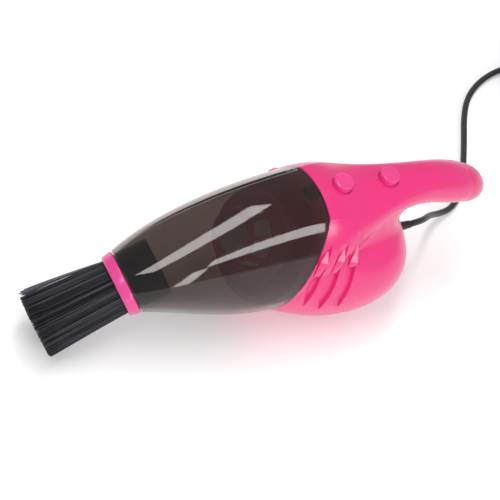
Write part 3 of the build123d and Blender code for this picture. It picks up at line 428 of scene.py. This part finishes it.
# vent louvres: over each vent slot a ridged hood, open at its lower end, whose upper slope turns to the light
# rows of vents: x, y, lean, how far the groove's floor stands out, place of the ridge,
# fall of the upper slope
louvre = {"vents": [(-22.6, 30.6, 13.0, 0.3, 14.5, 0.50), (-12.0, 31.0, 13.5, 0.0, 13.0, 0.48),
                    (-1.4, 30.6, 19.0, 0.0, 8.6, 0.37)],
          "middle": 50.0, "turn": 7.0, "slant": 12.0, "lipAt": 5.2, "lipHeight": 1.3, "ridgeHeight": 2.2,
          "tipHeight": -0.5, "halfWidth": 1.8, "tipWidth": 0.3, "tipAside": 1.3, "lipTilt": 0.15,
          "tilt": 0.45, "wall": 0.45, "sunk": 0.15, "thinnest": 0.05, "innerTip": 4.0}


def ventHood(ridge, fall, inset):
    # rows at lip, ridge and tip, each up one side, across and down: edge height = height of its row + tilt*x
    tip = ridge + (louvre["ridgeHeight"] - louvre["tipHeight"]) / fall - louvre["innerTip"] * inset
    z = np.array([louvre["lipAt"], ridge, tip])
    height = np.array([louvre["lipHeight"], louvre["ridgeHeight"], louvre["tipHeight"]]) - inset
    half = np.maximum(np.array([louvre["halfWidth"]] * 2 + [louvre["tipWidth"]]) - inset, louvre["thinnest"])
    tilt = np.array([louvre["lipTilt"], louvre["tilt"], louvre["tilt"]])
    x = half[:, None] * np.array([1, 1, -1, -1]) + np.array([0, 0, louvre["tipAside"]])[:, None]
    foot = np.minimum(-louvre["sunk"], height - half)[:, None] + 0 * x
    y = np.where(np.array([False, True, True, False]), height[:, None] + tilt[:, None] * x, foot)
    return np.stack([x, y, z[:, None] + 0 * x], axis=-1)


places = []
for x, y, lean, stand, ridge, fall in louvre["vents"]:
    outer, inner = ventHood(ridge, fall, 0.0), ventHood(ridge, fall, louvre["wall"])
    hood = np.concatenate([outer, inner[:, ::-1]], axis=1)
    turnAll = Matrix.Rotation(math.radians(-louvre["turn"]), 3, "Z")
    turnAll = turnAll @ Matrix.Rotation(math.radians(lean), 3, "X")
    turnAll = np.array(turnAll @ Matrix.Rotation(math.radians(louvre["slant"]), 3, "Y"))
    stood = hood.reshape(-1, 3) + np.array([0, stand, 0])
    places.append(stood @ turnAll.T + np.array([x, y, louvre["middle"]]))
rows, loop = hood.shape[:2]
side = np.arange(loop // 2 - 1)
cap = np.stack([side, side + 1, loop - 2 - side, loop - 1 - side], axis=1)
hoodFaces = np.concatenate([gridFaces(rows, loop, wrapCols=True), cap[:, ::-1], cap + (rows - 1) * loop])
rightHoods = np.stack(places)
bothHoods = np.concatenate([rightHoods, rightHoods * np.array([1, -1, 1])]) * mm
count, size = bothHoods.shape[:2]
perSide = len(louvre["vents"])
flipped = np.stack([hoodFaces] * perSide + [hoodFaces[:, ::-1]] * perSide)
flipped = flipped + (np.arange(count) * size)[:, None, None]
ventLouvres = makePiece("ventLouvres", bothHoods.reshape(-1, 3), flipped.reshape(-1, 4),
                        "pinkAbs", "base")
ventLouvres.data.shade_flat()
print("vent louvres", count)


# release spring: a round wire wound round an upright helix
spring = {"middle": (-1.6, 0.0), "low": 71.0, "high": 76.8, "shelf": 70.6, "radius": 3.2, "wire": 0.25,
          "turns": 5, "perTurn": 40, "sides": 8, "keep": 0.64}
wind = np.linspace(0, 2 * math.pi * spring["turns"], spring["turns"] * spring["perTurn"] + 1)
outward = np.stack([np.cos(wind), np.sin(wind), 0 * wind], axis=1)
rise = (spring["high"] - spring["low"]) / wind[-1]
coilReach = spring["radius"]
forward = np.stack([-coilReach * np.sin(wind), coilReach * np.cos(wind), rise + 0 * wind], axis=1)
upward = np.cross(outward, forward / np.linalg.norm(forward, axis=1, keepdims=True))
middleX, middleY = spring["middle"]
climb = np.stack([0 * wind + middleX, 0 * wind + middleY, spring["low"] + rise * wind], axis=1)
centre = coilReach * outward + climb
corner = np.linspace(0, 2 * math.pi, spring["sides"], endpoint=False)[None, :, None]
wireRing = np.cos(corner) * outward[:, None] + np.sin(corner) * upward[:, None]
points = centre[:, None] + spring["wire"] * wireRing
endCap = np.array([[0, 1, 2, 7], [7, 2, 3, 6], [6, 3, 4, 5]])
tube = gridFaces(len(wind), spring["sides"], wrapCols=True)
lastRing = (len(wind) - 1) * spring["sides"]
faces = np.concatenate([tube, endCap[:, ::-1], endCap + lastRing])[:, ::-1]
releaseSpring = makePiece("releaseSpring", points.reshape(-1, 3) * mm, faces, "steel", "base")
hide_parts("release_spring")
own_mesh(releaseSpring)
print("release spring")


# brush collar: a ring with rounded lips
collar = {"front": 6.1, "back": 0.3, "frontRadius": 15.6, "backRadius": 16.8, "bore": 14.3, "lip": 1.1,
          "lipSteps": 7, "chamferOut": 0.3, "chamferIn": 0.4, "steps": 128, "mouth": (-108.0, 0, 38.3),
          "tilt": -29.0}
nozzlePlace = axes(collar["mouth"], collar["tilt"])


def collarRadius(d):
    # the outside is a cone, so the radius grows evenly from the front edge to the back edge
    grows = collar["backRadius"] - collar["frontRadius"]
    return collar["frontRadius"] + grows * (collar["front"] + d) / (collar["front"] - collar["back"])


lipTurn = np.linspace(0, math.pi / 2, collar["lipSteps"])
lip, bore, frontAt, backAt = collar["lip"], collar["bore"], -collar["front"], -collar["back"]
frontTop, backTop = collarRadius(frontAt + lip) - lip, collarRadius(backAt - lip) - lip
frontLip = [(frontTop + lip * math.sin(a), frontAt + lip - lip * math.cos(a)) for a in lipTurn]
backLip = [(backTop + lip * math.cos(a), backAt - lip + lip * math.sin(a)) for a in lipTurn]
chamfer = [(bore, frontAt + collar["chamferIn"]), (bore + collar["chamferOut"], frontAt)]
collarProfile = chamfer + frontLip + backLip + [(bore, backAt)]
points, faces = turned(collarProfile, nozzlePlace, collar["steps"])
brushCollar = makePiece("brushCollar", points, faces, "collarAbs", "brush")
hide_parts("brush_collar")
print("collar")


# bristles: fine strands that flare a little, each a tapered four-sided tube on a gently bent line
brush = {"count": 1350, "inner": 9.6, "outer": 13.6, "root": -5.4, "tip": -49.1, "uneven": 3.4, "flare": 1.17,
         "flareSpread": 0.015, "swingSpread": 0.03, "bowSpread": 0.35, "tone": 0.24, "rootRadius": 0.27,
         "tipRadius": 0.2, "rings": 7, "sides": 4, "stray": 9, "strayAt": 0.435, "strayFan": 0.16,
         "strayFlare": (0.04, 0.2), "strayBow": 1.4, "strayTone": (0.25, 0.7), "backingSteps": 96,
         "backing": [(9.2, -4.7), (9.2, -5.9), (14.1, -5.9), (14.1, -4.7)]}


def strands():
    # strand: radius grows from the root by the flare, angle swings with the square of the share,
    # and the whole bows most at its middle
    n, rings, sides = brush["count"], brush["rings"], brush["sides"]
    radius = np.sqrt(rng.uniform(brush["inner"] ** 2, brush["outer"] ** 2, n))
    angle = rng.uniform(0, 2 * math.pi, n)
    flare = brush["flare"] + rng.normal(0, brush["flareSpread"], n)
    swing = rng.normal(0, brush["swingSpread"], n)
    bow = rng.normal(0, brush["bowSpread"], n)
    reach = brush["tip"] + rng.uniform(0, 1, n) ** 2 * brush["uneven"]
    tone = brush["tone"] * rng.uniform(0, 1, n) ** 2
    loose = slice(0, brush["stray"])
    radius[loose] = brush["outer"]
    fan = brush["strayFan"]
    angle[loose] = brush["strayAt"] + rng.uniform(-fan, fan, brush["stray"])
    flare[loose] = brush["flare"] + np.linspace(*brush["strayFlare"], brush["stray"])
    bow[loose] = brush["strayBow"]
    tone[loose] = rng.uniform(*brush["strayTone"], brush["stray"])
    share = np.linspace(0, 1, rings)[None, :]
    r = radius[:, None] * (1 + (flare[:, None] - 1) * share) + bow[:, None] * share * (1 - share)
    a = angle[:, None] + swing[:, None] * share ** 2
    d = brush["root"] + (reach[:, None] - brush["root"]) * share
    thick = brush["rootRadius"] + (brush["tipRadius"] - brush["rootRadius"]) * share
    corner = np.linspace(0, 2 * math.pi, sides, endpoint=False)
    y = (r * np.cos(a))[..., None] + thick[..., None] * np.cos(corner)
    u = (r * np.sin(a))[..., None] + thick[..., None] * np.sin(corner)
    origin, side, up, along = nozzlePlace
    points = origin + mm * (y[..., None] * side + u[..., None] * up + d[..., None, None] * along)
    tipCap = np.arange(sides)[None, :] + (rings - 1) * sides
    one = np.concatenate([gridFaces(rings, sides, wrapCols=True), tipCap])
    faces = (one[None, :, ::-1] + (np.arange(n) * rings * sides)[:, None, None]).reshape(-1, 4)
    return points.reshape(-1, 3), faces, np.repeat(tone, rings * sides)


points, faces, tone = strands()
discPoints, discFaces = turned(brush["backing"], nozzlePlace, brush["backingSteps"])
faces = np.concatenate([faces, discFaces + len(points)])
tone = np.concatenate([tone, np.zeros(len(discPoints))])
points = np.concatenate([points, discPoints])
brushBristles = makePiece("brushBristles", points, faces, "filament", "brush")
strandTone = brushBristles.data.attributes.new("strandTone", "FLOAT", "POINT")
strandTone.data.foreach_set("value", tone.astype(np.float32))
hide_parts(*[f"bristles_{k}" for k in range(1, 7)])
print("bristles:", brush["count"], "strands")


# filter cloth: a cone with a round front, a pinhole at its middle, rippled a little between the ribs
cloth = {"root": 15.2, "tip": 11.6, "front": -28.2, "back": -17.4, "thick": 0.5, "ribs": 8, "ripple": 0.25,
         "around": 192, "rows": 14, "hole": 0.02, "threads": (0.55, 0.9), "seam": (-27.3, 52.1), "drop": 3,
         "tilt": 20.0}
fanTilt = math.radians(cloth["tilt"])
fanX = cloth["seam"][0] - cloth["drop"] * math.sin(fanTilt)
fanZ = cloth["seam"][1] - cloth["drop"] * math.cos(fanTilt)
fanPlace = axes((fanX, 0, fanZ), cloth["tilt"])


def clothSurface(inset):
    origin, side, up, along = fanPlace
    angle = np.linspace(0, 2 * math.pi, cloth["around"], endpoint=False)[None, :]
    cone = np.linspace(0, 1, cloth["rows"])[:, None]
    r = cloth["root"] + (cloth["tip"] - cloth["root"]) * cone - inset
    d = cloth["back"] + (cloth["front"] + inset - cloth["back"]) * cone
    cap = np.linspace(1, cloth["hole"], cloth["rows"])[1:, None]
    r = np.concatenate([r, (cloth["tip"] - inset) * cap])
    d = np.concatenate([d, np.full_like(cap, cloth["front"] + inset)])
    swell = np.sin(np.pi * np.minimum(1, np.linspace(0, 2, len(r)))[:, None])
    r = r - cloth["ripple"] * swell * np.abs(np.sin(cloth["ribs"] * angle / 2))
    ring = np.cos(angle)[..., None] * side + np.sin(angle)[..., None] * up
    return origin + mm * (d[..., None] * along + r[..., None] * ring), r.shape[0]


outerSkin, rows = clothSurface(0.0)
innerSkin, rows = clothSurface(cloth["thick"])
steps = cloth["around"]
ringNow, ringNext = np.arange(steps), (np.arange(steps) + 1) % steps
rim = np.stack([ringNow, ringNext, ringNext + rows * steps, ringNow + rows * steps], axis=1)
skinFaces = gridFaces(rows, steps, wrapCols=True)
faces = np.concatenate([skinFaces[:, ::-1], skinFaces + rows * steps, rim, rim[:, ::-1] + (rows - 1) * steps])
points = np.concatenate([outerSkin.reshape(-1, 3), innerSkin.reshape(-1, 3)])
filterCloth = makePiece("filterCloth", points, faces, "cloth", "filter")
uv = filterCloth.data.uv_layers.new(name="weave")
loopVerts = np.zeros(len(filterCloth.data.loops), dtype=np.int32)
filterCloth.data.loops.foreach_get("vertex_index", loopVerts)
column = loopVerts % steps
row = (loopVerts // steps) % rows
warpStep, weftStep = cloth["threads"]
weave = np.stack([column * warpStep, row * weftStep], axis=1)
uv.data.foreach_set("uv", weave.astype(np.float32).ravel())
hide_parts("filter_cloth")
print("filter cloth")


# strain relief: a soft sleeve that tapers on to the cord, plugged into the pod
relief = {"place": (52.7, 0, 29.697), "back": -3.9, "plugRadius": 2.9, "shoulder": 0.15, "rootRadius": 3.1,
          "endRadius": 2.05, "bore": 1.6, "tip": 13.0, "lip": 0.4, "hollow": 0.7, "rows": 20, "lipSteps": 6,
          "steps": 64}
reliefPlace = axes(relief["place"], 0.0)
bore, tip, lip = relief["bore"], relief["tip"], relief["lip"]
along = np.linspace(relief["shoulder"], tip - lip, relief["rows"])
narrows = relief["endRadius"] - relief["rootRadius"]
taper = relief["rootRadius"] + narrows * (along / tip) ** relief["hollow"]
bend = np.linspace(0, math.pi / 2, relief["lipSteps"])
endLip = np.stack([taper[-1] - lip * (1 - np.cos(bend)), tip - lip + lip * np.sin(bend)], axis=1)
plugRadius, back = relief["plugRadius"], relief["back"]
plug = [(bore, back), (plugRadius, back), (plugRadius, relief["shoulder"])]
reliefProfile = np.concatenate([plug, np.stack([taper, along], axis=1), endLip, [(bore, tip)]])
points, faces = turned(reliefProfile, reliefPlace, relief["steps"])
cordRelief = makePiece("cordRelief", points, faces, "pvc", "base")
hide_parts("cord_relief")
print("strain relief")


# cord: one line from the strain relief along the floor into a coil and out to the plug
cordFacts = {"diameter": 3.5, "exit": (66.0, 0.0, 29.7), "coilRadius": 23.25, "pitch": 4.2, "layerPitch": 4.0,
             "perHalf": 8, "halves": 16, "climbs": (4, 8, 12), "inwardClimbs": (4, 12), "bulge": 0.9,
             "tailAhead": (0.9976, 0.0901, 0.0)}
cordRoute = [(66.0, 0.0, 29.7), (73.0, 0.7, 29.0), (81.0, 4.0, 24.6), (89.0, 8.8, 17.6),
             (97.5, 13.0, 10.6), (107.5, 15.8, 5.0), (118.0, 18.6, 2.0), (128.0, 25.2, 1.8),
             (137.0, 35.6, 1.8), (145.0, 47.6, 1.8), (153.5, 61.0, 1.8), (162.0, 75.2, 1.8),
             (172.0, 88.0, 1.8), (186.5, 97.4, 2.1), (203.0, 102.4, 2.9), (220.0, 103.4, 2.9)]
tailSteps = [(6.5, 0.0, 0.0), (17.0, -0.4, -2.2), (30.0, -4.6, -7.0), (38.0, -14.0, -10.9),
             (40.2, -28.5, -10.9)]


def coilLine():
    # half turns side by side; at a climb the line goes up a layer and swings aside, and the radius turns back
    count, climbs, pitch = cordFacts["halves"], cordFacts["climbs"], cordFacts["pitch"]
    last, before = np.array(cordRoute[-1]), np.array(cordRoute[-2])
    ahead = (last - before) * np.array([1, 1, 0])
    ahead = ahead / np.linalg.norm(ahead)
    start = last + ahead * cordFacts["diameter"]
    center = start + np.array([ahead[1], -ahead[0], 0]) * cordFacts["coilRadius"]
    first = math.atan2(start[1] - center[1], start[0] - center[0])
    halves, radius, layer, slope = [], cordFacts["coilRadius"], 0, -1
    for half in range(count + 1):
        halves.append((radius, layer))
        if half in climbs:
            layer, slope = layer + 1, -slope
        else:
            radius += slope * pitch / 2
    halves = np.array(halves)
    step = np.arange(0, count * cordFacts["perHalf"] + 1) / cordFacts["perHalf"]
    low = np.minimum(step.astype(int), count - 1)
    part = step - low
    climbing = np.isin(low, climbs)
    aside = np.where(np.isin(low, cordFacts["inwardClimbs"]), -1.0, 1.0) * climbing
    bulge = aside * (0.5 - np.abs(part - 0.5)) * pitch * cordFacts["bulge"]
    r = halves[low, 0] + (halves[low + 1, 0] - halves[low, 0]) * part + bulge
    ease = np.where(climbing, part * part * (3 - 2 * part), part)
    z = start[2] + (halves[low, 1] + (halves[low + 1, 1] - halves[low, 1]) * ease) * cordFacts["layerPitch"]
    angle = first - math.pi * step
    grow = 2 / (1 + math.cos(math.pi / cordFacts["perHalf"]))
    return np.stack([center[0] + grow * r * np.cos(angle), center[1] + grow * r * np.sin(angle), z], axis=1)


coil = coilLine()
tailAhead = np.array(cordFacts["tailAhead"])
tailAhead = tailAhead / np.linalg.norm(tailAhead)
tailStart = coil[-1] + tailAhead * cordFacts["diameter"]
tailSide = np.array([-tailAhead[1], tailAhead[0], 0])
tail = [tailStart] + [tailStart + tailAhead * a + tailSide * s + np.array([0, 0, u]) for a, s, u in tailSteps]
cordPoints = np.concatenate([np.array(cordRoute), coil[1:], np.array(tail)]) * mm
curve = bpy.data.curves.new("usbCord", "CURVE")
curve.dimensions = "3D"
curve.bevel_depth = cordFacts["diameter"] / 2 * mm
curve.bevel_resolution = 5
curve.resolution_u = 6
curve.use_fill_caps = True
spline = curve.splines.new("NURBS")
spline.points.add(len(cordPoints) - 1)
spline.points.foreach_set("co", np.concatenate([cordPoints, np.ones((len(cordPoints), 1))], axis=1).ravel())
spline.order_u = 3
spline.use_endpoint_u = True
usbCord = bpy.data.objects.new("usbCord", curve)
bpy.context.scene.collection.objects.link(usbCord)
curve.materials.append(finishes["pvc"])
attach(usbCord, "base")
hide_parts("cord", "cord_coil", "cord_tail")
cordLength = np.linalg.norm(np.diff(cordPoints, axis=0), axis=1).sum()
print("cord points", len(cordPoints), "line", round(float(cordLength), 3), "m")


# stage: white floor, soft boxes, camera where the photograph was taken from
stageFacts = {"floor": 3.0, "azimuth": -50.3, "elevation": 49.0, "roll": 29.3, "distance": 1.0,
              "target": (-15.0, 0, 47.5), "aside": -22.0, "below": -8.2, "lens": 144.0, "sensor": 36.0,
              "lift": 0.22, "fill": 0.5}
softBoxes = {
    "topBox": {"place": (-0.30, 0.08, 1.05), "aim": (-0.05, 0, 0.06), "along": (0.73, 0.68, 0),
               "size": (1.30, 0.20), "radiance": 8.0},
    "sideStrip": {"place": (0.16, -0.92, 0.47), "aim": (-0.05, 0, 0.07), "along": (1, 0, 0),
                  "size": (0.62, 0.15), "radiance": 8.0},
    "frontStrip": {"place": (-0.17, -0.95, 0.20), "aim": (-0.09, 0, 0.06), "along": (0, 0, 1),
                   "size": (0.34, 0.10), "radiance": 8.0},
}
floorPoints = np.array([[-1, -1, 0], [1, -1, 0], [1, 1, 0], [-1, 1, 0]]) * stageFacts["floor"]
floorMesh = bpy.data.meshes.new("paleFloor")
floorMesh.from_pydata(floorPoints.tolist(), [], [(0, 1, 2, 3)])
paleFloor = bpy.data.objects.new("paleFloor", floorMesh)
bpy.context.scene.collection.objects.link(paleFloor)
floorMesh.materials.append(palePaper("palePaper", stageFacts["lift"]))

world = bpy.data.worlds.new("studio")
bpy.context.scene.world = world
world.use_nodes = True
tree = world.node_tree
tree.nodes.clear()
sky = addNode(tree, "ShaderNodeBackground", {}, {"Color": srgb("#ffffff"), "Strength": stageFacts["fill"]})
addNode(tree, "ShaderNodeOutputWorld", {}, {"Surface": sky.outputs["Background"]})


def softBox(name, place, aim, along, size, radiance):
    light = bpy.data.lights.new(name, "AREA")
    light.shape = "RECTANGLE"
    light.size, light.size_y = size
    light.energy = radiance * math.pi * size[0] * size[1]
    lamp = bpy.data.objects.new(name, light)
    bpy.context.scene.collection.objects.link(lamp)
    away = (Vector(place) - Vector(aim)).normalized()
    side = (Vector(along) - away * Vector(along).dot(away)).normalized()
    turn = Matrix((side, away.cross(side), away)).transposed().to_4x4()
    lamp.matrix_world = Matrix.Translation(place) @ turn


for name, box in softBoxes.items():
    softBox(name, **box)

turnA, turnE, roll = (math.radians(stageFacts[k]) for k in ("azimuth", "elevation", "roll"))
back = Vector((math.sin(turnA) * math.cos(turnE), -math.cos(turnA) * math.cos(turnE), math.sin(turnE)))
level = Vector((0, 0, 1)).cross(back).normalized()
rise = back.cross(level)
right = level * math.cos(roll) + rise * math.sin(roll)
up = rise * math.cos(roll) - level * math.sin(roll)
aim = Vector(stageFacts["target"]) * mm + (right * stageFacts["aside"] + up * stageFacts["below"]) * mm
camera = bpy.data.objects.new("camera", bpy.data.cameras.new("camera"))
bpy.context.scene.collection.objects.link(camera)
turn = Matrix((right, up, back)).transposed().to_4x4()
camera.matrix_world = Matrix.Translation(aim + back * stageFacts["distance"]) @ turn
camera.data.lens = stageFacts["lens"]
camera.data.sensor_width = stageFacts["sensor"]
bpy.context.scene.camera = camera
bpy.context.scene.view_settings.view_transform = "Standard"
print("stage")
